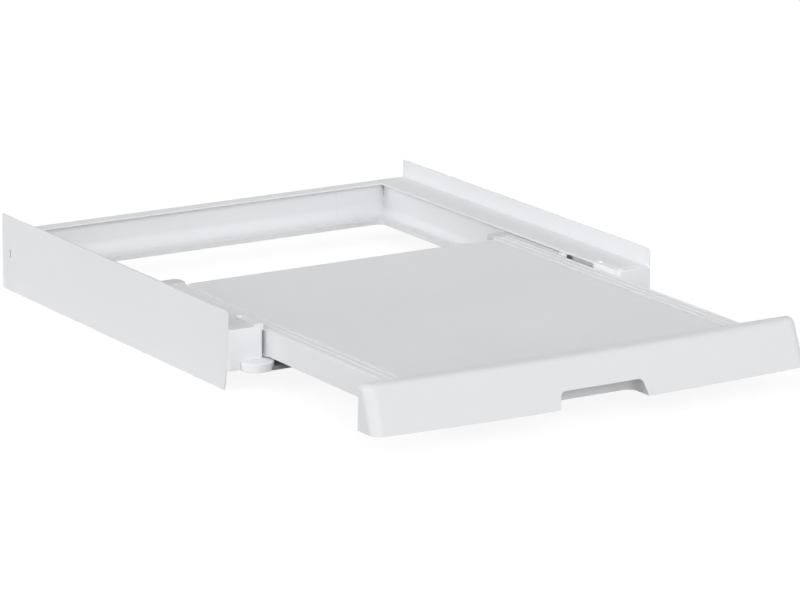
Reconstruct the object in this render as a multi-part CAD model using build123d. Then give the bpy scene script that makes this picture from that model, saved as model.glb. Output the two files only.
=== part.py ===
from build123d import *
import os

os.makedirs("parts", exist_ok=True)

# Stacking kit with a pull-out shelf, in millimetres. The origin is the middle of the frame's front edge,
# on the frame's underside. X runs to the right, Y to the rear and Z up. The shelf is drawn pulled out.

# Frame
WIDTH = 600.0  # over the side plates
DEPTH = 585.0  # side plates, front to rear
SHEET = 1.2  # side plates and rails
LEDGE_Z = 50.0  # the faces that carry the upper machine
LEDGE_SIDE = 47.5  # ledge width at the sides, from the outside
LEDGE_REAR = 21.0  # ledge width at the rear
LIP_OVERHANG = 7.0  # the ledge's hemmed lip, inwards of the inner wall
FLANGE_Z = 7.0  # top of the bottom flange
FLANGE_SIDE = 59.0  # inner edge of the bottom flange at the sides, from the outside
FLANGE_REAR = 41.0  # the same at the rear
WALL_FILLET = 10.0  # side walls into the flange
REAR_FILLET = 16.0  # rear wall into the flange
OPENING_CORNER = 12.0  # rounded corners of the frame's opening
FOLD = 1.6  # outside radius of the folds along the ledge
RELIEF_WIDTH = 2.4  # open wedge at the top of each rear corner's seam
RELIEF_DEPTH = 20.0

# Rear lap joints
SEAM_IN = 113.0  # from the outside to where the rear rail meets the side rails' arms
SEAM_GAP = 0.2
LAP = 27.0
LAP_FIT = 0.1
JOGGLE = 6.0
LAP_RIVET = 14.0  # from the seam
LAP_RIVET_Z = 29.0
RIVET_R = 1.6
RIVET_HEAD_R = 3.0
RIVET_HEAD = 1.1

# Side plates
PLATE_RISE = 23.0  # above the ledge
PLATE_DROP = 25.0  # below the frame
PLATE_TOP_R = 6.0
PLATE_CORNER_R = 3.0
PLATE_RAKE = 9.0  # the lower front edge runs back by this much
PLATE_RAKE_Z = 20.0  # from this height down
STUD_R = 2.5
STUD_LENGTH = 11.0
STUD_COUNT = 4
STUD_FIRST_Y = 75.0
STUD_PITCH = 143.0
STUD_Z = 24.5
STUD_HOLE_FIT = 0.25
THREAD_FIT = 0.05
NUT_FLATS = 8.0
NUT_HEIGHT = 4.0
STRAP_SLOT_LENGTH = 10.6
STRAP_SLOT_WIDTH = 2.6
STRAP_SLOT_IN = 21.0  # from the rear edge
STRAP_SLOT_Z = 24.0

# Front ends of the rails
CAP_FRONT = -1.5
CAP_COLLAR = 18.0  # depth of the cap in front of the rail
CAP_EDGE_R = 4.5
CAP_BRIM_R = 1.0
CAP_WALL = 2.4
CAP_PLUG = 26.0
CAP_FIT = 0.25
GUIDE_LENGTH = 48.0
GUIDE_WALL = 1.5
GUIDE_WIDTH = 10.0  # leg over the ledge
GUIDE_HOOK = 5.0  # leg under the lip
GUIDE_SKIRT = 1.5  # below the shelf's top, beside its profile
GUIDE_GAP = 0.5  # to the shelf's side profile
GUIDE_HUMP_R = 4.0
GUIDE_HUMP_IN = 5.5  # from the lip's nose outwards to the hump
GUIDE_HUMP = 1.8
STOP_LENGTH = 16.0
STOP_Y = 114.0  # front end of each stop
STOP_DROP = 8.0
STOP_GAP = 0.5  # to the rear guide with the shelf pulled out
STOP_SIDE_GAP = 0.8

# Front pads and crossbar
PAD_R = 20.5
PAD_IN = 36.0  # the pad's centre, from the outside
PAD_Y = -6.0
PAD_TOP = 10.5
PAD_EDGE_R = 1.0
PAD_FIT = 0.3
PAD_SCREW_X = 6.0  # from the pad's centre
PAD_SCREW_Y = 12.0
PAD_BOSS_R = 5.0
PAD_BOSS_TOP = 22.0
PAD_SCREW_Z = 5.5  # the screw's head, sunk into the pad
BAR_FRONT = -24.0
BAR_DEPTH = 30.0
BAR_HEIGHT = 4.8
BAR_GAUGE = 1.2
BAR_EDGE_R = 1.6
BAR_GRIP = 13.0  # how far each end of the crossbar enters its pad
SCREW_R = 1.75
SCREW_HEAD_R = 3.4
SCREW_HEAD = 1.8
SCREW_LENGTH = 11.0
DRIVE_SPAN = 3.6
DRIVE_SLOT = 0.8
DRIVE_DEPTH = 0.8

# Rollers
ROLLER_R = 5.6
ROLLER_WIDTH = 7.6
ROLLER_CROWN = 0.6
PIN_R = 2.0
PIN_FIT = 0.05
PIN_HEAD_R = 3.4
PIN_HEAD = 1.2
RUN_GAP = 0.3  # between a roller and what rolls on it
ROLLER_SIDE_GAP = 0.5
FRONT_ROLLER_Y = 34.0
BRACKET_LENGTH = 34.0
BRACKET_GAUGE = 1.2
BRACKET_R = 3.0
BRACKET_RIVET = 12.5  # either side of the pin
BRACKET_RIVET_Z = 3.0
NOTCH_GAP = 1.5  # round the roller, in the rail's flange

# Shelf
SHELF_Z = 44.5  # top of the shelf
SHELF_REAR = 241.5
SHELF_GAUGE = 1.0
SHELF_EDGE_DROP = 15.0
SHELF_REAR_R = 9.0
SHELF_FOLD = 2.0
SEAT_GAP = 0.2  # shelf sheet to side profile
PROFILE_GAP = 3.0  # side profile to the ledge's lip
PROFILE_WIDTH = 26.0
PROFILE_WALL = 1.5
PROFILE_HEIGHT = 32.0
PROFILE_RETURN = 14.0
PROFILE_LIP = 4.0
PROFILE_WEB = 17.0
PROFILE_EDGE_R = 1.2
RIB_COUNT = 3
RIB_PITCH = 9.6
RIB_FIRST = 3.2  # from the profile's inner edge
RIB_R = 1.1
RIB_RISE = 0.6
STIFFENER_Y = (-120.0, 95.0)
STIFFENER_WIDTH = 46.0
STIFFENER_CROWN = 26.0
STIFFENER_DROP = 13.0
STIFFENER_GAUGE = 0.8
STIFFENER_END_GAP = 6.0
PROFILE_RIVET_COUNT = 4
PROFILE_RIVET_PITCH = 130.0
PROFILE_RIVET_FIRST = 50.0  # from the shelf's rear edge

# Rear guides
GUIDE_TAIL = 19.0  # behind the shelf's rear edge
GUIDE_PLATE = 2.6
TONGUE_GAP = 0.5
TONGUE_HEIGHT = 10.0
TONGUE_END_R = 2.0
TAIL_CORNER_R = 7.0
TAIL_BOTTOM = 9.0
TAIL_PLUG = 30.0
PLUG_FIT = 0.3
POCKET_GAP = 0.5
GUIDE_SCREW_COUNT = 2
GUIDE_SCREW_PITCH = 60.0

# Front panel
PANEL_BACK = -296.0
PANEL_BOTTOM = 0.0
PANEL_TOP = 55.5
PANEL_END_IN = 1.0  # each end, along the bottom, from the outside of the side plates
PANEL_FLARE = 1.0  # each end leans in by this much at the top
PANEL_END_DEPTH = 38.0  # depth of its ends, along the bottom
PANEL_RAKE = 22.0  # the face leans back by this much at the top
PANEL_BOW = 11.5
PANEL_WALL = 2.5
PANEL_END_R = 14.0  # upright front corners
PANEL_TOP_R = 9.5
PANEL_REAR_R = 4.5  # top rear edge
PANEL_SKIRT = 24.0  # how far the rear wall comes down
PANEL_RIB = 1.8
PANEL_RIB_GAP = 2.0  # above the pads, which lie inside the panel with the shelf in
PANEL_RIB_COUNT = 4
PANEL_RIB_FIRST = 104.0
PANEL_RIB_PITCH = 52.0
BOSS_R = 4.5
BOSS_X = (82.0, 182.0)
BOSS_Z = 28.0
BOSS_BORE = 14.0
GRIP_X = 4.0
GRIP_WIDTH = 122.0  # along the bottom
GRIP_HEIGHT = 20.0
GRIP_DRAFT = 5.0  # each side leans in by this much at the top
GRIP_R = 7.0
GRIP_DEEP_R = 12.0
GRIP_BACK_GAP = 12.5  # from the grip's rear wall to the panel's back plane

# Places worked out from the sizes above
PLATE_IN = WIDTH / 2 - SHEET
SEAM_X = WIDTH / 2 - SEAM_IN
PAD_X = WIDTH / 2 - PAD_IN
PANEL_HALF = WIDTH / 2 - PANEL_END_IN
NOSE_X = WIDTH / 2 - LEDGE_SIDE
NOSE_Y = DEPTH - LEDGE_REAR
WALL_X = NOSE_X + LIP_OVERHANG
WALL_Y = NOSE_Y + LIP_OVERHANG
FLANGE_X = WIDTH / 2 - FLANGE_SIDE
FLANGE_Y = DEPTH - FLANGE_REAR
LIP_UNDER = LEDGE_Z - 2 * SHEET
RAIL_FRONT = CAP_FRONT + CAP_COLLAR
PROFILE_OUT = NOSE_X - PROFILE_GAP
PROFILE_IN = PROFILE_OUT - PROFILE_WIDTH
PROFILE_UNDER = SHELF_Z - PROFILE_HEIGHT
SHELF_HALF = PROFILE_IN - SEAT_GAP
TAIL_REAR = SHELF_REAR + GUIDE_TAIL
GUIDE_START = STOP_Y + STOP_LENGTH + STOP_GAP
BAR_END = PAD_X - PAD_R + BAR_GRIP
ROLLER_OUT = PROFILE_OUT
ROLLER_IN = ROLLER_OUT - ROLLER_WIDTH
FRONT_ROLLER_Z = PROFILE_UNDER - RUN_GAP - ROLLER_R
REAR_ROLLER_Z = FLANGE_Z + RUN_GAP + ROLLER_R
REAR_ROLLER_Y = SHELF_REAR + GUIDE_TAIL / 2
FAR = 2 * (WIDTH + DEPTH)  # longer than anything here, for cutters

UP = (Align.CENTER, Align.CENTER, Align.MIN)
DOWN = (Align.CENTER, Align.CENTER, Align.MAX)


def span(x0, x1, y0, y1, z0, z1):
    """A block between two corners."""
    return Pos(x0, y0, z0) * Box(x1 - x0, y1 - y0, z1 - z0, align=(Align.MIN, Align.MIN, Align.MIN))


def left_of(right_piece):
    """The left-hand twin of a right-hand piece."""
    return mirror(right_piece, about=Plane.YZ)


def both_sides(right_piece):
    """A piece and its twin, as one group."""
    return Compound(children=[*right_piece.solids(), *left_of(right_piece).solids()])


def area_xz(x0, x1, z0, z1):
    """A rectangle across the frame, in the XZ plane."""
    return Plane.XZ * Pos((x0 + x1) / 2, (z0 + z1) / 2) * Rectangle(x1 - x0, z1 - z0)


def area_yz(y0, y1, z0, z1):
    """A rectangle seen from the side, in the YZ plane."""
    return Plane.YZ * Pos((y0 + y1) / 2, (z0 + z1) / 2) * Rectangle(y1 - y0, z1 - z0)


def along_y(section, y0, y1):
    """A section of the XZ plane extruded from y0 to y1."""
    return Pos(0, y1, 0) * extrude(section, amount=y1 - y0, dir=(0, -1, 0))


def along_x(section, x0, x1):
    """A section of the YZ plane extruded from x0 to x1."""
    return Pos(x0, 0, 0) * extrude(section, amount=x1 - x0, dir=(1, 0, 0))


def rod_x(radius, x0, x1, y, z):
    """A round bar along X."""
    return Pos(x0, y, z) * Rot(0, 90, 0) * Cylinder(radius, x1 - x0, align=UP)


def rod_y(radius, y0, y1, x, z):
    """A round bar along Y."""
    return Pos(x, y0, z) * Rot(-90, 0, 0) * Cylinder(radius, y1 - y0, align=UP)


def rod_z(radius, z0, z1, x, y):
    """A round bar along Z."""
    return Pos(x, y, z0) * Cylinder(radius, z1 - z0, align=UP)


def rivet(grip):
    """A domed rivet. Its head sits on z = 0, its shank fills the grip below and its tail is set behind."""
    dome_r = (RIVET_HEAD_R**2 + RIVET_HEAD**2) / (2 * RIVET_HEAD)
    dome = Pos(0, 0, RIVET_HEAD - dome_r) * Sphere(dome_r) & Cylinder(RIVET_HEAD_R, RIVET_HEAD, align=UP)
    shank = Cylinder(RIVET_R, grip, align=DOWN)
    tail = Pos(0, 0, -grip) * Cylinder(RIVET_R * 1.5, RIVET_HEAD, align=DOWN)
    return dome + shank + tail


def screw_hole(length):
    """The countersunk hole for a screw along -Z."""
    head = Pos(0, 0, -SCREW_HEAD) * Cone(SCREW_R, SCREW_HEAD_R, SCREW_HEAD, align=UP)
    return head + Cylinder(SCREW_R, length, align=DOWN)


def cross_drive():
    """The cross recess of a screw's head, about z = 0."""
    arm = Box(DRIVE_SPAN, DRIVE_SLOT, 2 * DRIVE_DEPTH)
    return Rot(0, 0, 45) * arm + Rot(0, 0, -45) * arm


def screw(length):
    """A countersunk screw along -Z, its flat head level with z = 0."""
    return screw_hole(length) - cross_drive()


def mitred_pocket(inset):
    """The frame's inside above the flange: two filleted troughs that meet in a mitre at the rear corners."""
    floor = FLANGE_Z - inset
    half = WALL_X + inset
    across = area_xz(-half, half, floor, LEDGE_Z + 10)
    across = fillet(across.vertices().group_by(Axis.Z)[0], WALL_FILLET + inset)
    rear = area_yz(-50, WALL_Y + inset, floor, LEDGE_Z + 10)
    rear = fillet(rear.vertices().group_by(Axis.Z)[0].sort_by(Axis.Y)[-1:], REAR_FILLET + inset)
    return along_y(across, -50, DEPTH) & along_x(rear, -half, half)


def frame_opening(inset):
    """The opening inside the flange's lip, right through the frame."""
    half = FLANGE_X + inset
    block = span(-half, half, -50, FLANGE_Y + inset, -50, LEDGE_Z + 20)
    rear_corners = block.edges().filter_by(Axis.Z).group_by(Axis.Y)[-1]
    return fillet(rear_corners, OPENING_CORNER + inset)


def frame_form(inset):
    """The frame's outside drawn in by inset, so that two of these differ by the thickness of its sheet."""
    half = PLATE_IN - inset
    below = 20.0 if inset else 0.0
    block = span(-half, half, RAIL_FRONT - below, DEPTH - inset, -below, LEDGE_Z - inset)
    if not inset:
        top = block.faces().sort_by(Axis.Z)[-1]
        block = fillet(top.edges().group_by(Axis.Y)[-1] + top.edges().filter_by(Axis.Y), FOLD)
    return block - mitred_pocket(inset) - frame_opening(inset)


def ledge_lip():
    """The hemmed lip round the inside of the ledge: two thicknesses with a round nose."""
    half = WALL_X + SHEET
    rim = span(-half, half, RAIL_FRONT, WALL_Y + SHEET, LIP_UNDER, LEDGE_Z)
    rim -= span(-NOSE_X, NOSE_X, 0, NOSE_Y, 0, FAR)
    nose = rim.faces().filter_by(Axis.X).filter_by(lambda f: abs(abs(f.center().X) - NOSE_X) < 0.1)
    nose += rim.faces().filter_by(Axis.Y).filter_by(lambda f: abs(f.center().Y - NOSE_Y) < 0.1)
    edges = [e for f in nose for e in f.edges() if abs(e.tangent_at(0.5).Z) < 0.5]
    edges = [e for e in edges if e.center().Y > RAIL_FRONT + 1]
    return fillet(edges, SHEET - 0.1)


def folded_frame():
    """The whole folded channel, before it is parted into a rear rail and two side rails."""
    return frame_form(0) - frame_form(SHEET) + ledge_lip()


def lap_tongue():
    """The right-hand end of the rear rail, joggled in by one thickness to slide inside the side rail's arm."""
    inner = SHEET + LAP_FIT
    neck = frame_form(0) - frame_form(inner + SHEET)
    neck = neck & span(SEAM_X - JOGGLE, SEAM_X - SEAM_GAP / 2, WALL_Y - FAR, DEPTH + 1, 0, FAR)
    tongue = frame_form(inner) - frame_form(inner + SHEET)
    tongue = tongue & span(SEAM_X - JOGGLE, SEAM_X + LAP, WALL_Y - FAR, DEPTH + 1, 0, FAR)
    return neck + tongue


def lap_rivet_places():
    """Where the right-hand lap is riveted: flange and rear wall, head outwards."""
    x = SEAM_X + LAP_RIVET
    flange_y = (FLANGE_Y + WALL_Y - REAR_FILLET) / 2
    yield Pos(x, flange_y, FLANGE_Z)
    yield Pos(x, DEPTH, LAP_RIVET_Z) * Rot(-90, 0, 0)


def lap_rivet_holes():
    return [place * Cylinder(RIVET_R, 12) for place in lap_rivet_places()]


def rear_rail(folded):
    """The rear rail: the same folded section, with a joggled tongue at each end."""
    half = SEAM_X - SEAM_GAP / 2
    middle = folded & span(-half, half, 0, DEPTH + 1, 0, FAR)
    tongue = lap_tongue() - lap_rivet_holes()
    return middle + tongue + left_of(tongue)


def corner_relief():
    """The wedge left open at the top of the seam where the side wall meets the rear wall."""
    wedge = Plane.XZ * Polygon(
        (-RELIEF_WIDTH / 2, 0), (RELIEF_WIDTH / 2, 0), (0, -RELIEF_DEPTH), align=None
    )
    return Pos(WALL_X, WALL_Y, LIP_UNDER) * Rot(0, 0, -45) * extrude(wedge, amount=4, both=True)


def strap_slot():
    """The upright slot near each rear end, where a tie between the two machines can pass."""
    slot = Plane.YZ * Rot(0, 0, 90) * SlotOverall(STRAP_SLOT_LENGTH, STRAP_SLOT_WIDTH)
    return Pos(PLATE_IN - 5, DEPTH - STRAP_SLOT_IN, STRAP_SLOT_Z) * extrude(slot, amount=10)


def stud_rows():
    """Y of each stud that holds a side plate."""
    return [STUD_FIRST_Y + STUD_PITCH * i for i in range(STUD_COUNT)]


def roller_notch():
    """The gap in the flange round a front roller."""
    reach = ROLLER_R + NOTCH_GAP
    outer = ROLLER_OUT + ROLLER_SIDE_GAP + PIN_HEAD + NOTCH_GAP
    notch = span(FLANGE_X - 1, outer, FRONT_ROLLER_Y - reach, FRONT_ROLLER_Y + reach, -1, WALL_FILLET)
    return fillet(notch.edges().filter_by(Axis.Z).group_by(Axis.X)[-1], 2)


def bracket_rivet_rows():
    return [FRONT_ROLLER_Y - BRACKET_RIVET, FRONT_ROLLER_Y + BRACKET_RIVET]


def side_rail(folded):
    """The right side rail with its arm along the rear."""
    rail = folded & span(SEAM_X + SEAM_GAP / 2, WIDTH, RAIL_FRONT, DEPTH + 1, 0, FAR)
    rail -= lap_rivet_holes()
    rail -= corner_relief()
    rail -= strap_slot()
    rail -= roller_notch()
    rail -= [rod_x(STUD_R + STUD_HOLE_FIT, WALL_X + 5, WIDTH, y, STUD_Z) for y in stud_rows()]
    rail -= [rod_x(RIVET_R, FLANGE_X - 1, FLANGE_X + 4, y, BRACKET_RIVET_Z) for y in bracket_rivet_rows()]
    return rail


def side_plate():
    """The right side plate with its welded studs."""
    top = LEDGE_Z + PLATE_RISE
    outline = Plane.YZ * Polygon(
        (0, PLATE_RAKE_Z), (0, top), (DEPTH, top), (DEPTH, -PLATE_DROP), (PLATE_RAKE, -PLATE_DROP), align=None
    )
    corners = outline.vertices().sort_by(Axis.Y)
    front_top = corners[:2].sort_by(Axis.Z)[-1]
    outline = fillet(front_top, PLATE_TOP_R)
    others = [v for v in outline.vertices() if v.Z < 0 or v.Y > DEPTH - 1]
    outline = fillet(others, PLATE_CORNER_R)
    plate = along_x(outline, PLATE_IN, WIDTH / 2) - strap_slot()
    studs = [rod_x(STUD_R, PLATE_IN - STUD_LENGTH, PLATE_IN, y, STUD_Z) for y in stud_rows()]
    return plate + studs


def plate_nut():
    """A hexagon nut on a stud, tight on the rail's outer wall from inside."""
    across = NUT_FLATS / 2 / 0.8660254
    hexagon = extrude(RegularPolygon(across, 6), amount=NUT_HEIGHT)
    hexagon = chamfer(hexagon.faces().sort_by(Axis.Z)[0].edges(), 0.4)
    return Rot(0, 90, 0) * (hexagon - Cylinder(STUD_R + THREAD_FIT, 20))


def plate_nuts():
    """All the nuts, on both sides."""
    x = PLATE_IN - SHEET - NUT_HEIGHT
    return both_sides(Compound(children=[Pos(x, y, STUD_Z) * plate_nut() for y in stud_rows()]))


def lap_rivets():
    grip = 2 * SHEET + LAP_FIT
    return both_sides(Compound(children=[place * rivet(grip) for place in lap_rivet_places()]))


def pad_screw_place():
    """Where the right pad's screw starts, in the underside of the pad."""
    return Pos(PAD_X + PAD_SCREW_X, PAD_Y + PAD_SCREW_Y, PAD_SCREW_Z) * Rot(180, 0, 0)


def front_pad():
    """The right front pad: a thick disc under the rail's end, over the end of the crossbar."""
    disc = rod_z(PAD_R, 0, PAD_TOP, PAD_X, PAD_Y)
    disc = fillet(disc.edges().filter_by(GeomType.CIRCLE), PAD_EDGE_R)
    disc -= span(0, BAR_END, BAR_FRONT, BAR_FRONT + BAR_DEPTH, -1, BAR_HEIGHT)
    disc -= pad_screw_place() * screw_hole(PAD_BOSS_TOP)
    return disc - pad_screw_place() * Cylinder(SCREW_HEAD_R, PAD_SCREW_Z + 1, align=UP)


def pad_screws():
    """The screws that hold the front pads up to the end caps, sunk into the pads."""
    return both_sides(pad_screw_place() * screw(SCREW_LENGTH))


def front_crossbar():
    """The flat tube that ties the two rails together below the shelf; its ends sit in the front pads."""
    rear = BAR_FRONT + BAR_DEPTH
    outer = area_yz(BAR_FRONT, rear, 0, BAR_HEIGHT)
    outer = fillet(outer.vertices(), BAR_EDGE_R)
    inner = area_yz(BAR_FRONT + BAR_GAUGE, rear - BAR_GAUGE, BAR_GAUGE, BAR_HEIGHT - BAR_GAUGE)
    return along_x(outer - fillet(inner.vertices(), BAR_EDGE_R - BAR_GAUGE), -BAR_END, BAR_END)


def end_cap():
    """The moulded cap that closes the right rail: a hollow collar and a plug that goes into the rail."""
    collar = span(NOSE_X, PLATE_IN, CAP_FRONT, RAIL_FRONT, 0, LEDGE_Z)
    inner_edge = collar.edges().filter_by(Axis.Z).group_by(Axis.Y)[0].sort_by(Axis.X)[0]
    collar = fillet(inner_edge, CAP_EDGE_R)
    brim = collar.faces().sort_by(Axis.Z)[-1].edges().group_by(Axis.Y)[:2]
    collar = fillet([e for group in brim for e in group], CAP_BRIM_R)
    floor = PAD_TOP + CAP_WALL
    wall = CAP_WALL
    hollow = span(NOSE_X + wall, PLATE_IN - wall, CAP_FRONT + wall, FAR, floor, LEDGE_Z - wall)
    collar -= fillet(hollow.edges().filter_by(Axis.Z).group_by(Axis.Y)[0], 2)

    plug_in = WALL_X + SHEET + CAP_FIT
    plug_out = PLATE_IN - SHEET - CAP_FIT
    plug_top = LEDGE_Z - SHEET - CAP_FIT
    plug_end = RAIL_FRONT + CAP_PLUG
    plug = span(plug_in, plug_out, RAIL_FRONT - wall, plug_end, floor, plug_top)
    plug -= span(plug_in + wall, plug_out - wall, 0, FAR, 0, plug_top - wall)
    plug = chamfer(plug.faces().sort_by(Axis.Y)[-1].outer_wire().edges().sort_by(Axis.Z)[-1], 1.5)
    boss = rod_z(PAD_BOSS_R, PAD_TOP, PAD_BOSS_TOP, PAD_X + PAD_SCREW_X, PAD_Y + PAD_SCREW_Y)
    cap = collar + plug + boss
    cap -= rod_z(PAD_R + PAD_FIT, -1, PAD_TOP, PAD_X, PAD_Y)
    return cap - pad_screw_place() * Cylinder(SCREW_R, SCREW_LENGTH, align=DOWN)


def front_guide():
    """The white clip on the lip at the rail's front end, which keeps the shelf's profile central."""
    inner = PROFILE_OUT + GUIDE_GAP
    top = area_xz(inner, NOSE_X + GUIDE_WIDTH, LEDGE_Z, LEDGE_Z + GUIDE_WALL)
    nose = area_xz(inner, NOSE_X, SHELF_Z - GUIDE_SKIRT, LEDGE_Z + GUIDE_WALL)
    hook = area_xz(inner, NOSE_X + GUIDE_HOOK, LIP_UNDER - GUIDE_WALL, LIP_UNDER)
    section = top + nose
    section = fillet(section.vertices().group_by(Axis.Z)[-1], GUIDE_WALL / 2)
    rear = CAP_FRONT + CAP_EDGE_R + GUIDE_LENGTH
    clip = along_y(section, CAP_FRONT + CAP_EDGE_R, rear)
    clip += along_y(hook, RAIL_FRONT + 2 * GUIDE_GAP, rear)
    hump_y = rear - GUIDE_HUMP_R
    hump_x = NOSE_X + GUIDE_HUMP_IN
    hump = Pos(hump_x, hump_y, LEDGE_Z + GUIDE_WALL) * scale(Sphere(GUIDE_HUMP_R), by=(1, 1, GUIDE_HUMP / GUIDE_HUMP_R))
    return clip + (hump & span(0, WIDTH, 0, FAR, LEDGE_Z, FAR))


def slide_stop():
    """The right stop, welded under the lip, that the rear guide's tongue meets when the shelf is out."""
    inner = NOSE_X - PROFILE_GAP + STOP_SIDE_GAP
    outer = WALL_X - STOP_SIDE_GAP
    section = area_xz(inner, outer, LIP_UNDER - SHEET, LIP_UNDER)
    section += area_xz(inner, inner + SHEET, LIP_UNDER - STOP_DROP, LIP_UNDER)
    section = fillet(section.vertices().group_by(Axis.Z)[-1].sort_by(Axis.X)[0], SHEET * 0.9)
    clip = along_y(section, STOP_Y, STOP_Y + STOP_LENGTH)
    cheek = area_xz(inner, outer, LIP_UNDER - STOP_DROP, LIP_UNDER)
    return clip + along_y(cheek, STOP_Y + STOP_LENGTH - SHEET, STOP_Y + STOP_LENGTH)


def roller(y, z):
    """A roller with rounded shoulders and a running bore, inboard of the rail's wall."""
    wheel = rod_x(ROLLER_R, ROLLER_IN + ROLLER_SIDE_GAP, ROLLER_OUT - ROLLER_SIDE_GAP, y, z)
    wheel = fillet(wheel.edges().filter_by(GeomType.CIRCLE), ROLLER_CROWN)
    return wheel - rod_x(PIN_R + PIN_FIT, 0, WIDTH, y, z)


def roller_bracket():
    """The upright plate that carries the right front roller on the flange's lip."""
    half = BRACKET_LENGTH / 2
    top = FRONT_ROLLER_Z + PIN_HEAD_R + 1
    y = FRONT_ROLLER_Y
    shoulder = FLANGE_Z
    outline = area_yz(y - half, y + half, SHEET / 2, shoulder)
    outline += area_yz(y - PIN_HEAD_R * 2, y + PIN_HEAD_R * 2, SHEET / 2, top)
    outline = fillet(outline.vertices().group_by(Axis.Z)[-1], BRACKET_R)
    plate = along_x(outline, FLANGE_X - BRACKET_GAUGE, FLANGE_X)
    plate -= rod_x(PIN_R, 0, WIDTH, y, FRONT_ROLLER_Z)
    return plate - [rod_x(RIVET_R, 0, WIDTH, row, BRACKET_RIVET_Z) for row in bracket_rivet_rows()]


def bracket_rivets():
    """The rivets that hold the roller brackets to the lips."""
    place = [Pos(FLANGE_X - BRACKET_GAUGE, y, BRACKET_RIVET_Z) * Rot(0, -90, 0) for y in bracket_rivet_rows()]
    return both_sides(Compound(children=[p * rivet(BRACKET_GAUGE + SHEET) for p in place]))


def roller_pin(x0, x1, y, z):
    """A headed pin: the head at x0, the shank to x1 with a small retaining collar."""
    pin = rod_x(PIN_R, x0, x1, y, z)
    pin += rod_x(PIN_HEAD_R, x0 - PIN_HEAD, x0, y, z)
    return pin + rod_x(PIN_R * 1.5, x1 - PIN_HEAD, x1, y, z)


def front_roller_pins():
    end = ROLLER_OUT + ROLLER_SIDE_GAP / 2 + PIN_HEAD
    return both_sides(roller_pin(FLANGE_X - BRACKET_GAUGE, end, FRONT_ROLLER_Y, FRONT_ROLLER_Z))


def profile_section():
    """Section of the right side profile: ribbed top, skirt, bottom return and a web for the shelf sheet."""
    wall = PROFILE_WALL
    out = PROFILE_OUT
    top = area_xz(PROFILE_IN, out, SHELF_Z - wall, SHELF_Z)
    skirt = area_xz(out - wall, out, PROFILE_UNDER, SHELF_Z)
    sole = area_xz(out - PROFILE_RETURN, out, PROFILE_UNDER, PROFILE_UNDER + wall)
    lip = area_xz(out - PROFILE_RETURN, out - PROFILE_RETURN + wall, PROFILE_UNDER, PROFILE_UNDER + PROFILE_LIP)
    web = area_xz(PROFILE_IN, PROFILE_IN + wall, SHELF_Z - PROFILE_WEB, SHELF_Z)
    section = top + skirt + sole + lip + web
    outer = [v for v in section.vertices() if v.X > out - 0.01]
    section = fillet(outer, PROFILE_EDGE_R)
    for i in range(RIB_COUNT):
        rib = Plane.XZ * Pos(PROFILE_IN + RIB_FIRST + RIB_PITCH * i, SHELF_Z + RIB_RISE - RIB_R) * Circle(RIB_R)
        section += rib & area_xz(PROFILE_IN, out, SHELF_Z - wall / 2, FAR)
    return section


def profile_rivet_rows():
    last = SHELF_REAR - PROFILE_RIVET_FIRST
    return [last - PROFILE_RIVET_PITCH * i for i in range(PROFILE_RIVET_COUNT)]


def profile_rivet_places():
    """Rivets through the sheet's side flange and the profile's web, head inwards."""
    z = SHELF_Z - (SHELF_EDGE_DROP + PROFILE_WALL) / 2 - PROFILE_WALL
    x = SHELF_HALF - SHELF_GAUGE
    return [Pos(x, y, z) * Rot(0, -90, 0) for y in profile_rivet_rows()]


def guide_screw_places():
    """Screws through the rear guide's plate into the profile's skirt, head outwards."""
    z = (PROFILE_UNDER + SHELF_Z - TONGUE_HEIGHT) / 2
    x = PROFILE_OUT + GUIDE_PLATE
    first = GUIDE_START + 20
    return [Pos(x, first + GUIDE_SCREW_PITCH * i, z) * Rot(0, 90, 0) for i in range(GUIDE_SCREW_COUNT)]


def side_profile():
    """The right side profile, from the front panel to the shelf's rear edge."""
    bar = along_y(profile_section(), PANEL_BACK, SHELF_REAR)
    bar -= [place * Cylinder(RIVET_R, 12) for place in profile_rivet_places()]
    return bar - [place * Cylinder(SCREW_R, 2 * SCREW_LENGTH) for place in guide_screw_places()]


def shelf_sheet():
    """The shelf's flat sheet with its edges turned down."""
    block = span(-SHELF_HALF, SHELF_HALF, PANEL_BACK, SHELF_REAR, PROFILE_UNDER, SHELF_Z)
    rear = block.edges().filter_by(Axis.Z).group_by(Axis.Y)[-1]
    block = fillet(rear, SHELF_REAR_R)
    block = fillet(block.faces().sort_by(Axis.Z)[-1].edges(), SHELF_FOLD)
    gauge = SHELF_GAUGE
    inside = SHELF_HALF - gauge
    under = SHELF_Z - gauge
    core = span(-inside, inside, PANEL_BACK + gauge, SHELF_REAR - gauge, PROFILE_UNDER - 1, under)
    core = fillet(core.edges().filter_by(Axis.Z).group_by(Axis.Y)[-1], SHELF_REAR_R - gauge)
    core = fillet(core.faces().sort_by(Axis.Z)[-1].edges(), SHELF_FOLD - gauge)
    sheet = block - core
    sheet -= span(-WIDTH, WIDTH, PANEL_BACK + gauge + 2, FAR, 0, SHELF_Z - SHELF_EDGE_DROP)
    sheet -= [place * Cylinder(RIVET_R, 12) for place in profile_rivet_places()]
    sheet -= [left_of(place * Cylinder(RIVET_R, 12)) for place in profile_rivet_places()]
    return sheet - [rod_y(SCREW_R, PANEL_BACK - 1, PANEL_BACK + 5, x, BOSS_Z) for x in boss_rows()]


def boss_rows():
    """X of the screws that hold the front panel."""
    return [side * x for side in (-1, 1) for x in BOSS_X]


def profile_rivets():
    grip = SHELF_GAUGE + SEAT_GAP + PROFILE_WALL
    return both_sides(Compound(children=[place * rivet(grip) for place in profile_rivet_places()]))


def guide_screws():
    length = GUIDE_PLATE + PROFILE_WALL + 3
    return both_sides(Compound(children=[place * screw(length) for place in guide_screw_places()]))


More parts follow.
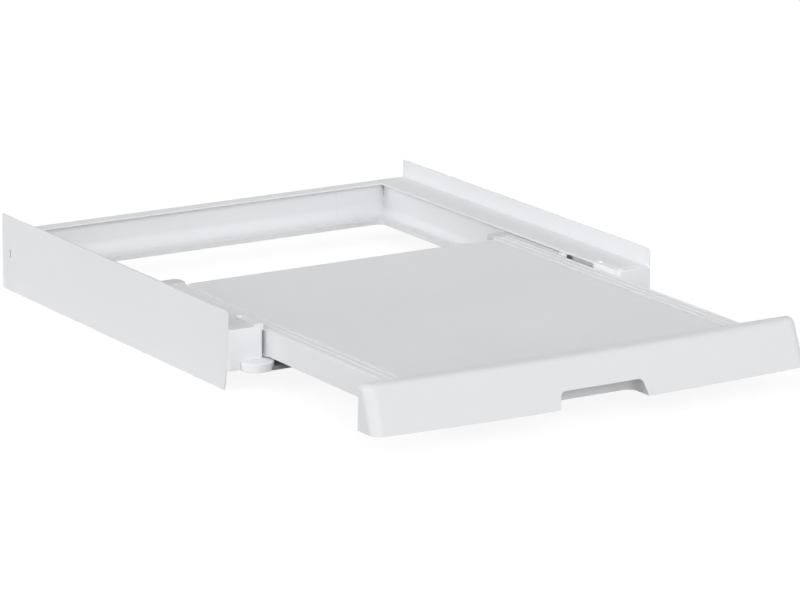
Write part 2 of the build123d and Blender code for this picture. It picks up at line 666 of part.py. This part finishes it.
def panel_screws():
    """Screws from behind, through the sheet's front flange into the panel's bosses."""
    place = [Pos(x, PANEL_BACK + SHELF_GAUGE, BOSS_Z) * Rot(-90, 0, 0) for x in boss_rows()]
    return Compound(children=[p * pan_screw() for p in place])


def pan_screw():
    """A pan-head screw along -Z, its head standing on z = 0."""
    head = Cylinder(SCREW_HEAD_R, SCREW_HEAD, align=UP)
    head = fillet(head.edges().group_by(Axis.Z)[-1], SCREW_HEAD / 2)
    return head - Pos(0, 0, SCREW_HEAD) * cross_drive() + Cylinder(SCREW_R, SCREW_LENGTH, align=DOWN)


def stiffener(y):
    """A hat-section stiffener across the underside of the shelf."""
    under = SHELF_Z - SHELF_GAUGE
    gauge = STIFFENER_GAUGE
    crown = STIFFENER_CROWN / 2
    brim = STIFFENER_WIDTH / 2
    low = under - STIFFENER_DROP
    hat = area_yz(y - brim, y + brim, under - gauge, under)
    hat += area_yz(y - crown, y + crown, low, under)
    hat -= area_yz(y - crown + gauge, y + crown - gauge, low + gauge, under)
    hat = fillet([v for v in hat.vertices() if v.Z < low + 0.01], gauge)
    half = SHELF_HALF - STIFFENER_END_GAP
    return along_x(hat, -half, half)


def rear_guide():
    """The right rear guide: a plate on the profile's skirt, a tongue under the ledge's lip and a tail
    that closes the profile and holds the rear roller."""
    plate_out = PROFILE_OUT + GUIDE_PLATE
    tongue_out = WALL_X - TONGUE_GAP
    top = LIP_UNDER - TONGUE_GAP
    plate = area_xz(PROFILE_OUT, plate_out, PROFILE_UNDER + PROFILE_WALL, top)
    tongue = area_xz(PROFILE_OUT, tongue_out, top - TONGUE_HEIGHT, top)
    runner = along_y(plate + tongue, GUIDE_START, TAIL_REAR)
    ends = runner.edges().filter_by(Axis.Z).filter_by(lambda e: e.center().X > tongue_out - 0.1)
    runner = fillet(ends, TONGUE_END_R)

    tail = span(PROFILE_IN, plate_out, SHELF_REAR, TAIL_REAR, TAIL_BOTTOM, top)
    tail = fillet(tail.edges().filter_by(Axis.Z).group_by(Axis.Y)[-1].sort_by(Axis.X)[0], TAIL_CORNER_R)
    wall = PROFILE_WALL + PLUG_FIT
    plug = span(
        PROFILE_IN + wall, PROFILE_OUT - wall, SHELF_REAR - TAIL_PLUG, SHELF_REAR,
        PROFILE_UNDER + PROFILE_LIP + PLUG_FIT, SHELF_Z - wall,
    )
    plug = chamfer(plug.faces().sort_by(Axis.Y)[0].edges(), 1.5)
    guide = runner + tail + plug

    y, z = REAR_ROLLER_Y, REAR_ROLLER_Z
    well = rod_x(ROLLER_R + POCKET_GAP, ROLLER_IN, ROLLER_OUT, y, z)
    well += span(ROLLER_IN, ROLLER_OUT, y - ROLLER_R - POCKET_GAP, y + ROLLER_R + POCKET_GAP, 0, z)
    guide -= well
    guide -= rod_x(PIN_R, 0, WIDTH, y, z)
    return guide - [place * screw_hole(SCREW_LENGTH) for place in guide_screw_places()]


def rear_roller_pins():
    y, z = REAR_ROLLER_Y, REAR_ROLLER_Z
    pin = rod_x(PIN_R, ROLLER_IN - 8, PROFILE_OUT + GUIDE_PLATE, y, z)
    return both_sides(pin)


def panel_form(inset):
    """The panel's outside drawn in by inset: bowed in plan, its face raked back, its ends leaning in."""
    low, high = PANEL_BOTTOM + inset, PANEL_TOP - inset
    shares = [(z - PANEL_BOTTOM) / (PANEL_TOP - PANEL_BOTTOM) for z in (low, high)]
    bow_r = (PANEL_HALF**2 + PANEL_BOW**2) / (2 * PANEL_BOW)
    centre = PANEL_BACK - PANEL_END_DEPTH - PANEL_BOW + bow_r
    radii = [bow_r - inset - PANEL_RAKE * share for share in shares]
    face = Pos(0, centre, low) * Cone(radii[0], radii[1], high - low, align=UP)
    foot, head = [PANEL_HALF - inset - PANEL_FLARE * share for share in shares]
    ends = Plane.XZ * Polygon((-foot, low), (foot, low), (head, high), (-head, high), align=None)
    form = face & along_y(ends, PANEL_BACK - 2 * (PANEL_END_DEPTH + PANEL_BOW), PANEL_BACK - inset)
    uprights = form.edges().filter_by(lambda e: e.center().Y < PANEL_BACK - 9 and abs(e.tangent_at(0.5).Z) > 0.7)
    form = fillet(uprights, PANEL_END_R - inset)
    brim = form.faces().sort_by(Axis.Z)[-1].edges().filter_by(lambda e: e.center().Y < PANEL_BACK - inset - 1)
    form = fillet(brim, PANEL_TOP_R - inset)
    side = area_yz(-FAR, PANEL_BACK - inset, low, high)
    side = fillet(side.vertices().group_by(Axis.Y)[-1].sort_by(Axis.Z)[-1], PANEL_REAR_R - inset)
    return form & along_x(side, -WIDTH, WIDTH)


def grip_recess(wall):
    """The finger grip, drawn out by wall: open below and in front, with drafted sides and rounded corners."""
    low, high = PANEL_BOTTOM - 2 * PANEL_WALL, PANEL_BOTTOM + GRIP_HEIGHT + wall
    foot, head = [GRIP_WIDTH / 2 + wall - GRIP_DRAFT * (z - PANEL_BOTTOM) / GRIP_HEIGHT for z in (low, high)]
    section = Plane.XZ * Polygon((-foot, low), (foot, low), (head, high), (-head, high), align=None)
    block = along_y(section, PANEL_BACK - 2 * PANEL_END_DEPTH, PANEL_BACK - GRIP_BACK_GAP + wall)
    uprights = block.edges().filter_by(lambda e: abs(e.tangent_at(0.5).Z) > 0.7)
    block = fillet(uprights.group_by(Axis.Y)[-1], GRIP_DEEP_R + wall)
    return Pos(GRIP_X, 0, 0) * fillet(block.edges().filter_by(Axis.Y).group_by(Axis.Z)[-1], GRIP_R + wall)


def rib_rows():
    """X of the ribs inside the panel."""
    right = [PANEL_RIB_FIRST + PANEL_RIB_PITCH * i for i in range(PANEL_RIB_COUNT)]
    return [side * x for side in (-1, 1) for x in right]


def front_panel():
    """The bowed front: a hollow moulding, open below, with its grip, ribs and screw bosses inside."""
    outside = panel_form(0)
    core = panel_form(PANEL_WALL)
    room = core + extrude(core.faces().sort_by(Axis.Z)[0], amount=2 * PANEL_WALL)
    half = PANEL_HALF - PANEL_FLARE - PANEL_WALL
    low, high = PANEL_BOTTOM - 1, PANEL_TOP - PANEL_SKIRT
    panel = outside - room - span(-half, half, PANEL_BACK - PANEL_WALL - 1, 0, low, high)

    foot = PAD_TOP + PANEL_RIB_GAP
    ribs = [span(x - PANEL_RIB / 2, x + PANEL_RIB / 2, -FAR, 0, foot, FAR) for x in rib_rows()]
    bosses = [rod_y(BOSS_R, PANEL_BACK - 60, PANEL_BACK, x, BOSS_Z) for x in boss_rows()]
    panel += [outside & rib for rib in ribs]
    panel += [outside & boss for boss in bosses]
    panel += outside & grip_recess(PANEL_WALL)
    panel -= grip_recess(0)
    return panel - [rod_y(SCREW_R, PANEL_BACK - BOSS_BORE, PANEL_BACK, x, BOSS_Z) for x in boss_rows()]


def parts():
    """Every node of the kit and its shape."""
    folded = folded_frame()
    right = {
        "side_plate": side_plate(),
        "side_rail": side_rail(folded),
        "end_cap": end_cap(),
        "front_guide": front_guide(),
        "slide_stop": slide_stop(),
        "front_pad": front_pad(),
        "roller_bracket": roller_bracket(),
        "front_roller": roller(FRONT_ROLLER_Y, FRONT_ROLLER_Z),
        "side_profile": side_profile(),
        "rear_guide": rear_guide(),
        "rear_roller": roller(REAR_ROLLER_Y, REAR_ROLLER_Z),
    }
    nodes = {}
    for name, shape in right.items():
        nodes[name + "_right"] = shape
        nodes[name + "_left"] = left_of(shape)
    nodes["rear_rail"] = rear_rail(folded)
    nodes["lap_rivets"] = lap_rivets()
    nodes["plate_nuts"] = plate_nuts()
    nodes["front_crossbar"] = front_crossbar()
    nodes["pad_screws"] = pad_screws()
    nodes["bracket_rivets"] = bracket_rivets()
    nodes["front_roller_pins"] = front_roller_pins()
    nodes["shelf_sheet"] = shelf_sheet()
    nodes["shelf_stiffener_front"] = stiffener(STIFFENER_Y[0])
    nodes["shelf_stiffener_rear"] = stiffener(STIFFENER_Y[1])
    nodes["front_panel"] = front_panel()
    nodes["panel_screws"] = panel_screws()
    nodes["profile_rivets"] = profile_rivets()
    nodes["guide_screws"] = guide_screws()
    nodes["rear_roller_pins"] = rear_roller_pins()
    return nodes


for node, shape in parts().items():
    export_step(shape, "parts/" + node + ".step")
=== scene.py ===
"""The looks of a stacking kit with pull-out shelf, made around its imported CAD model."""

import math

import bmesh
import bpy
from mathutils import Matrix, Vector


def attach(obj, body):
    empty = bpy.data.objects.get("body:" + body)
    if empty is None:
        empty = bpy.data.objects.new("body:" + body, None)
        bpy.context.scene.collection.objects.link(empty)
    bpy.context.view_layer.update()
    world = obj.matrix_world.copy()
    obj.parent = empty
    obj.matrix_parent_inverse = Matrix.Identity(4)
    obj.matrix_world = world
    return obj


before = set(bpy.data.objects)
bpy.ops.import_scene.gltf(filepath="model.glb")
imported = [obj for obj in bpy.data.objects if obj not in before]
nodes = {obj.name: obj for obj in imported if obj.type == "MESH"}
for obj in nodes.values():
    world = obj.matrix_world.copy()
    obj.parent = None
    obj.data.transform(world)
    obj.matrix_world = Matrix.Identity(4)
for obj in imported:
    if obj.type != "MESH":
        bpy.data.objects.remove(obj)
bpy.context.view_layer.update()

# Camera, fitted to the photograph: metres and degrees, and pixels of a picture 800 wide
CAMERA_PLACE = Vector((-2.981, -4.782, 1.495))
CAMERA_YAW = 31.15
CAMERA_PITCH = 14.41
NEAREST, FARTHEST = 0.1, 60.0
FOCAL_PIXELS = 4821.0
CENTRE_PIXELS = 380.0
PICTURE_WIDTH = 800.0
SENSOR = 36.0  # millimetres

# Light: a sky that fades from the horizon upwards, and four broad lamps. Each has its level and, in degrees,
# its azimuth from the front to the right, its elevation and its spread.
SKY_AT_HORIZON = 0.40
SKY_OVERHEAD = 0.0
LAMPS = {
    "front_lamp": (1.44, -16.0, 24.0, 50.0),
    "right_lamp": (0.74, 48.0, 24.0, 40.0),
    "side_lamp": (1.60, -98.0, 25.0, 44.0),
    "top_lamp": (0.42, 0.0, 80.0, 60.0),
}

# Floor, in metres: its colour as the object's light meets it, and as the camera sees it under the added white
FLOOR_Z = -0.025
FLOOR_SIZE = 28.0
FLOOR_COLOUR = 0.55
FLOOR_SEEN_COLOUR = 0.16
FLOOR_WHITENING = 0.90

# Finishes: the linear reflectance of each
COAT_WHITE = 0.80
SHELF_WHITE = 0.785
PANEL_WHITE = 0.74
MOULDING_WHITE = 0.84
EXTRUSION_WHITE = 0.785
NYLON_WHITE = 0.74
GUIDE_GREY = 0.63
ZINC_GREY = 0.60
# Painted shade: the crossbar's coat is darkened far below the frame's white to stand in for the deep shade
# under the shelf
BAR_PAINTED_SHADE_GREY = 0.28
COOLNESS = 0.010  # a touch bluer than neutral: this share less red, and twice this share more blue
NOISE_SPAN = (0.3, 0.7)  # nearly all of a noise pattern's values lie between these

# Folded tabs behind the rear corners' open mitres, in metres: just outside the walls' outer faces
TAB_X, TAB_Y = 0.26072, 0.57222
TAB_HEIGHTS = (0.0230, 0.0472)
TAB_LEG = 0.009
TAB_SHEET = 0.001
TAB_BEND = 0.0008
TAB_EDGE = 0.00015
BEND_FACETS, EDGE_FACETS = 4, 2

# Threads on the side plates' studs, in metres
THREAD_START = 0.2934  # just inside the nuts
THREAD_ROOT, THREAD_CREST = 0.00246, 0.00275
THREAD_PITCH = 0.0008
THREAD_TURNS = 6
THREAD_SIDES = 28
STUD_HEIGHT = 0.0245
STUD_PLACES = (0.075, 0.218, 0.361, 0.504)

# Shaping by hand
SMOOTH_ANGLE = 30.0  # degrees: flatter edges are shaded smooth
SHARP_ANGLE = 60.0  # degrees: steeper edges are broken with a small bevel
FACING = 0.9  # a face whose normal reaches this along an axis faces that way
SLACK = 1e-5  # metres within which an edge counts as level


class Finish:
    """A material in the making: a surface, and the patterns on the piece's own coordinates that feed it."""

    def __init__(self, name):
        self.material = bpy.data.materials.new(name)
        self.material.use_nodes = True
        self.tree = self.material.node_tree
        self.surface = self.tree.nodes["Principled BSDF"]
        self.place = self.tree.nodes.new("ShaderNodeTexCoord").outputs["Object"]

    def link(self, source, target):
        self.tree.links.new(source, target)

    def noise(self, scale, detail=2.0, roughness=0.5, stretch=(1.0, 1.0, 1.0)):
        """A cloudy pattern of about this many clouds to the metre."""
        mapping = self.tree.nodes.new("ShaderNodeMapping")
        mapping.inputs["Scale"].default_value = stretch
        self.link(self.place, mapping.inputs["Vector"])
        clouds = self.tree.nodes.new("ShaderNodeTexNoise")
        clouds.inputs["Scale"].default_value = scale
        clouds.inputs["Detail"].default_value = detail
        clouds.inputs["Roughness"].default_value = roughness
        self.link(mapping.outputs["Vector"], clouds.inputs["Vector"])
        return clouds.outputs["Fac"]

    def tint(self, pattern, level, darkest, palest):
        """The colour: the finish's level times a share that follows the pattern."""
        ramp = self.tree.nodes.new("ShaderNodeValToRGB")
        for number, share in enumerate((darkest, palest)):
            ramp.color_ramp.elements[number].position = NOISE_SPAN[number]
            ramp.color_ramp.elements[number].color = (*cool(level * share), 1.0)
        self.link(pattern, ramp.inputs["Fac"])
        self.link(ramp.outputs["Color"], self.surface.inputs["Base Color"])

    def gloss(self, pattern, smoothest, roughest):
        """The roughness, which follows the pattern."""
        spread = self.tree.nodes.new("ShaderNodeMapRange")
        spread.inputs["From Min"].default_value = NOISE_SPAN[0]
        spread.inputs["From Max"].default_value = NOISE_SPAN[1]
        spread.inputs["To Min"].default_value = smoothest
        spread.inputs["To Max"].default_value = roughest
        self.link(pattern, spread.inputs["Value"])
        self.link(spread.outputs["Result"], self.surface.inputs["Roughness"])

    def skin(self, pattern, height):
        """The grain: the pattern stands up from the surface by this many metres."""
        bump = self.tree.nodes.new("ShaderNodeBump")
        bump.inputs["Distance"].default_value = height
        bump.inputs["Strength"].default_value = 1.0
        self.link(pattern, bump.inputs["Height"])
        self.link(bump.outputs["Normal"], self.surface.inputs["Normal"])

    def shine(self, level):
        self.surface.inputs["Specular IOR Level"].default_value = level


def cool(level):
    """This level of grey as red, green and blue, a touch cooler than neutral."""
    return level * (1 - COOLNESS), level, level * (1 + 2 * COOLNESS)


def coated_sheet(name, level):
    """Powder coat on folded sheet: a fine orange-peel skin, slightly uneven in colour and gloss."""
    finish = Finish(name)
    finish.tint(finish.noise(scale=5.0, detail=3.0), level, darkest=0.985, palest=1.01)
    finish.gloss(finish.noise(scale=60.0, detail=4.0), smoothest=0.42, roughest=0.52)
    finish.skin(finish.noise(scale=950.0), height=0.00002)
    finish.shine(0.3)
    return finish.material


def moulded_white(name, level):
    """Moulded plastic with a fine eroded grain."""
    finish = Finish(name)
    finish.tint(finish.noise(scale=7.0), level, darkest=0.99, palest=1.005)
    finish.gloss(finish.noise(scale=90.0, detail=3.0), smoothest=0.40, roughest=0.50)
    finish.skin(finish.noise(scale=2400.0, detail=3.0, roughness=0.6), height=0.00001)
    finish.shine(0.4)
    return finish.material


def lacquered_extrusion():
    """White lacquer on an extruded profile, with die lines along its length."""
    finish = Finish("lacquered_extrusion")
    die_lines = finish.noise(scale=1.0, stretch=(1500.0, 4.0, 1500.0))
    finish.tint(finish.noise(scale=6.0), EXTRUSION_WHITE, darkest=0.985, palest=1.01)
    finish.gloss(die_lines, smoothest=0.38, roughest=0.46)
    finish.skin(die_lines, height=0.000012)
    finish.shine(0.4)
    return finish.material


def plated_steel():
    """Bright zinc plating, faintly mottled."""
    finish = Finish("plated_steel")
    mottle = finish.noise(scale=420.0, detail=4.0, roughness=0.6)
    finish.tint(mottle, ZINC_GREY, darkest=0.9, palest=1.06)
    finish.gloss(mottle, smoothest=0.26, roughest=0.40)
    finish.skin(finish.noise(scale=1800.0), height=0.00001)
    finish.surface.inputs["Metallic"].default_value = 1.0
    return finish.material


def dress(name, material):
    """Gives a CAD node its finish."""
    piece = nodes[name]
    piece.data.materials.clear()
    piece.data.materials.append(material)


def pair(name):
    return [name + "_left", name + "_right"]


coat = coated_sheet("white_coat", COAT_WHITE)
shelf_coat = coated_sheet("shelf_coat", SHELF_WHITE)
# The crossbar's grey coat is painted shade: a darkened copy of the white coat that stands in for the shade
# under the shelf
crossbar_painted_shade_coat = coated_sheet("painted_shade_grey_coat", BAR_PAINTED_SHADE_GREY)
panel_moulding = moulded_white("panel_white", PANEL_WHITE)
moulding = moulded_white("moulded_white", MOULDING_WHITE)
guide_moulding = moulded_white("guide_grey", GUIDE_GREY)
nylon = moulded_white("roller_nylon", NYLON_WHITE)
extrusion = lacquered_extrusion()
zinc = plated_steel()

FINISHES = {
    coat: [
        *pair("side_plate"), *pair("side_rail"), "rear_rail", "lap_rivets", *pair("slide_stop"),
    ],
    shelf_coat: ["shelf_sheet", "shelf_stiffener_front", "shelf_stiffener_rear"],
    # The crossbar wears the darkened coat that paints in the shade under the shelf
    crossbar_painted_shade_coat: ["front_crossbar"],
    panel_moulding: ["front_panel"],
    moulding: [*pair("end_cap"), *pair("front_guide"), *pair("front_pad")],
    guide_moulding: pair("rear_guide"),
    nylon: [*pair("front_roller"), *pair("rear_roller")],
    extrusion: pair("side_profile"),
    zinc: [
        *pair("roller_bracket"), "plate_nuts", "pad_screws", "bracket_rivets", "front_roller_pins",
        "panel_screws", "profile_rivets", "guide_screws", "rear_roller_pins",
    ],
}
for finish_material, names in FINISHES.items():
    for name in names:
        dress(name, finish_material)


def begin(name):
    """The primitive just added becomes a piece of this name, with its place in its mesh, open in edit mode."""
    piece = bpy.context.object
    piece.name = name
    bpy.ops.object.transform_apply(location=True, rotation=True, scale=True)
    bpy.ops.object.mode_set(mode="EDIT")
    return piece


def pick(piece, kind, test):
    """Selects only the faces or edges of the open piece that pass the test."""
    bpy.ops.mesh.select_all(action="DESELECT")
    bpy.ops.mesh.select_mode(type=kind)
    shape = bmesh.from_edit_mesh(piece.data)
    for part in {"FACE": shape.faces, "EDGE": shape.edges}[kind]:
        if test(part):
            part.select_set(True)
    shape.select_flush_mode()
    bmesh.update_edit_mesh(piece.data)


def pull(x=0.0, y=0.0):
    """Draws the selected faces out by this much."""
    bpy.ops.mesh.extrude_region_move(TRANSFORM_OT_translate={"value": (x, y, 0)})


def face_outwards(piece):
    """Turns the open piece's faces outwards. A bent strip can come out turned in, which its volume shows."""
    bpy.ops.mesh.select_all(action="SELECT")
    bpy.ops.mesh.normals_make_consistent(inside=False)
    if bmesh.from_edit_mesh(piece.data).calc_volume(signed=True) < 0:
        bpy.ops.mesh.flip_normals()


def end(piece, material, body):
    """Closes the piece, gives it its finish and that finish's slot, and lets it ride on its body."""
    face_outwards(piece)
    bpy.ops.object.mode_set(mode="OBJECT")
    piece.data.materials.append(material)
    bpy.ops.object.shade_smooth_by_angle(angle=math.radians(SMOOTH_ANGLE))
    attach(piece, body)


def copy_of(piece, name, body, move=(0.0, 0.0, 0.0), mirror_x=False):
    """A copy with its own mesh, moved or mirrored across the middle, riding on its body."""
    bpy.ops.object.select_all(action="DESELECT")
    piece.select_set(True)
    bpy.context.view_layer.objects.active = piece
    bpy.ops.object.duplicate()
    made = bpy.context.object
    made.name = name
    made.data.name = name
    if mirror_x:
        made.scale.x = -1.0
    made.location = move
    bpy.ops.object.transform_apply(location=True, rotation=True, scale=True)
    if mirror_x:
        bpy.ops.object.mode_set(mode="EDIT")
        face_outwards(made)
        bpy.ops.object.mode_set(mode="OBJECT")
    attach(made, body)
    return made


def climb(edge):
    """How much higher one end of an edge is than the other."""
    return abs(edge.verts[0].co.z - edge.verts[1].co.z)


def fold_corner_tabs():
    """The folded tab behind the open mitre of each rear corner: a strip of sheet, bent square."""
    low, high = TAB_HEIGHTS
    middle = Vector((TAB_X + TAB_SHEET / 2, TAB_Y + TAB_SHEET / 2, (low + high) / 2))
    bpy.ops.object.select_all(action="DESELECT")
    bpy.ops.mesh.primitive_cube_add(
        size=1, location=(TAB_X - TAB_LEG / 2, middle.y, middle.z), scale=(TAB_LEG, TAB_SHEET, high - low)
    )
    tab = begin("corner_tab_right")
    pick(tab, "FACE", lambda face: face.normal.x > FACING)
    pull(x=TAB_SHEET)
    pick(tab, "FACE", lambda face: face.normal.y < -FACING and face.calc_center_median().x > TAB_X)
    pull(y=-TAB_LEG)
    pick(tab, "EDGE", lambda edge: climb(edge) > SLACK and all(
        corner.co.x > middle.x and corner.co.y > middle.y for corner in edge.verts
    ))
    bpy.ops.mesh.bevel(offset=TAB_BEND, segments=BEND_FACETS, affect="EDGES")
    pick(tab, "EDGE", lambda edge: climb(edge) < SLACK and len(edge.link_faces) == 2
         and edge.calc_face_angle() > math.radians(SHARP_ANGLE))
    bpy.ops.mesh.bevel(offset=TAB_EDGE, segments=EDGE_FACETS, affect="EDGES")
    end(tab, coat, "frame")
    copy_of(tab, "corner_tab_left", "frame", mirror_x=True)


def cut_stud_threads():
    """The thread on each stud's free end: one sleeve of ridges, drawn out ring by ring, then copied."""
    centre = Vector((THREAD_START, STUD_PLACES[0], STUD_HEIGHT))
    bpy.ops.object.select_all(action="DESELECT")
    bpy.ops.mesh.primitive_circle_add(
        vertices=THREAD_SIDES, radius=THREAD_ROOT, fill_type="NGON",
        location=centre, rotation=(0, math.radians(90), 0),
    )
    thread = begin("stud_thread_right_1")
    bpy.ops.mesh.select_all(action="SELECT")
    for _ in range(THREAD_TURNS):
        for factor in (THREAD_CREST / THREAD_ROOT, THREAD_ROOT / THREAD_CREST):
            pull(x=-THREAD_PITCH / 2)
            centre.x -= THREAD_PITCH / 2
            bpy.ops.transform.resize(value=(1, factor, factor), center_override=centre)
    end(thread, zinc, "frame")
    copy_of(thread, "stud_thread_left_1", "frame", mirror_x=True)
    for number, place in enumerate(STUD_PLACES[1:], 2):
        along = (0, place - STUD_PLACES[0], 0)
        right = copy_of(thread, f"stud_thread_right_{number}", "frame", move=along)
        copy_of(right, f"stud_thread_left_{number}", "frame", mirror_x=True)


def seen_share(tree):
    """1 for the camera, for reflections and through glass, and 0 for all other light."""
    path = tree.nodes.new("ShaderNodeLightPath")
    share = path.outputs["Is Camera Ray"]
    for ray in ("Is Glossy Ray", "Is Transmission Ray"):
        larger = tree.nodes.new("ShaderNodeMath")
        larger.operation = "MAXIMUM"
        tree.links.new(share, larger.inputs[0])
        tree.links.new(path.outputs[ray], larger.inputs[1])
        share = larger.outputs[0]
    return share


def lay_floor():
    """A matt floor that takes the object's shadow, and looks white where none falls."""
    bpy.ops.object.select_all(action="DESELECT")
    bpy.ops.mesh.primitive_plane_add(size=FLOOR_SIZE, location=(0, 0, FLOOR_Z))
    floor = bpy.context.object
    floor.name = "floor"
    material = bpy.data.materials.new("studio_floor")
    material.use_nodes = True
    tree = material.node_tree
    tree.nodes.remove(tree.nodes["Principled BSDF"])
    seen = seen_share(tree)
    colour = tree.nodes.new("ShaderNodeMapRange")
    colour.inputs["To Min"].default_value = FLOOR_COLOUR
    colour.inputs["To Max"].default_value = FLOOR_SEEN_COLOUR
    tree.links.new(seen, colour.inputs["Value"])
    matt = tree.nodes.new("ShaderNodeBsdfDiffuse")
    tree.links.new(colour.outputs["Result"], matt.inputs["Color"])
    whitening = tree.nodes.new("ShaderNodeMath")
    whitening.operation = "MULTIPLY"
    whitening.inputs[1].default_value = FLOOR_WHITENING
    tree.links.new(seen, whitening.inputs[0])
    glow = tree.nodes.new("ShaderNodeEmission")
    tree.links.new(whitening.outputs[0], glow.inputs["Strength"])
    both = tree.nodes.new("ShaderNodeAddShader")
    tree.links.new(matt.outputs[0], both.inputs[0])
    tree.links.new(glow.outputs[0], both.inputs[1])
    tree.links.new(both.outputs[0], tree.nodes["Material Output"].inputs["Surface"])
    floor.data.materials.append(material)


def light_sky():
    """A white background where it is seen, and the fading sky for the light that falls on the object."""
    world = bpy.data.worlds.new("studio")
    bpy.context.scene.world = world
    world.use_nodes = True
    tree = world.node_tree
    direction = tree.nodes.new("ShaderNodeSeparateXYZ")
    tree.links.new(tree.nodes.new("ShaderNodeTexCoord").outputs["Generated"], direction.inputs[0])
    sky = tree.nodes.new("ShaderNodeMapRange")
    sky.inputs["To Min"].default_value = SKY_AT_HORIZON
    sky.inputs["To Max"].default_value = SKY_OVERHEAD
    tree.links.new(direction.outputs["Z"], sky.inputs["Value"])
    level = tree.nodes.new("ShaderNodeMapRange")
    level.inputs["To Max"].default_value = 1.0
    tree.links.new(seen_share(tree), level.inputs["Value"])
    tree.links.new(sky.outputs["Result"], level.inputs["To Min"])
    background = tree.nodes["Background"]
    background.inputs["Color"].default_value = (1.0, 1.0, 1.0, 1.0)
    tree.links.new(level.outputs["Result"], background.inputs["Strength"])


def hang_lamp(name, level, azimuth, elevation, spread):
    lamp = bpy.data.lights.new(name, "SUN")
    lamp.energy = level
    lamp.angle = math.radians(spread)
    made = bpy.data.objects.new(name, lamp)
    azimuth, elevation = math.radians(azimuth), math.radians(elevation)
    towards = Vector((
        math.sin(azimuth) * math.cos(elevation), -math.cos(azimuth) * math.cos(elevation), math.sin(elevation)
    ))
    made.rotation_mode = "QUATERNION"
    made.rotation_quaternion = towards.to_track_quat("Z", "Y")
    bpy.context.scene.collection.objects.link(made)


def place_camera():
    camera = bpy.data.cameras.new("camera")
    camera.sensor_width = SENSOR
    camera.lens = FOCAL_PIXELS / PICTURE_WIDTH * SENSOR
    camera.shift_x = 0.5 - CENTRE_PIXELS / PICTURE_WIDTH
    camera.clip_start, camera.clip_end = NEAREST, FARTHEST
    made = bpy.data.objects.new("camera", camera)
    yaw, pitch = math.radians(CAMERA_YAW), math.radians(CAMERA_PITCH)
    ahead = Vector((math.sin(yaw) * math.cos(pitch), math.cos(yaw) * math.cos(pitch), -math.sin(pitch)))
    made.location = CAMERA_PLACE
    made.rotation_mode = "QUATERNION"
    made.rotation_quaternion = ahead.to_track_quat("-Z", "Y")
    bpy.context.scene.collection.objects.link(made)
    bpy.context.scene.camera = made


fold_corner_tabs()
cut_stud_threads()

lay_floor()
light_sky()
for lamp_name, values in LAMPS.items():
    hang_lamp(lamp_name, *values)
place_camera()
bpy.context.scene.view_settings.view_transform = "Standard"
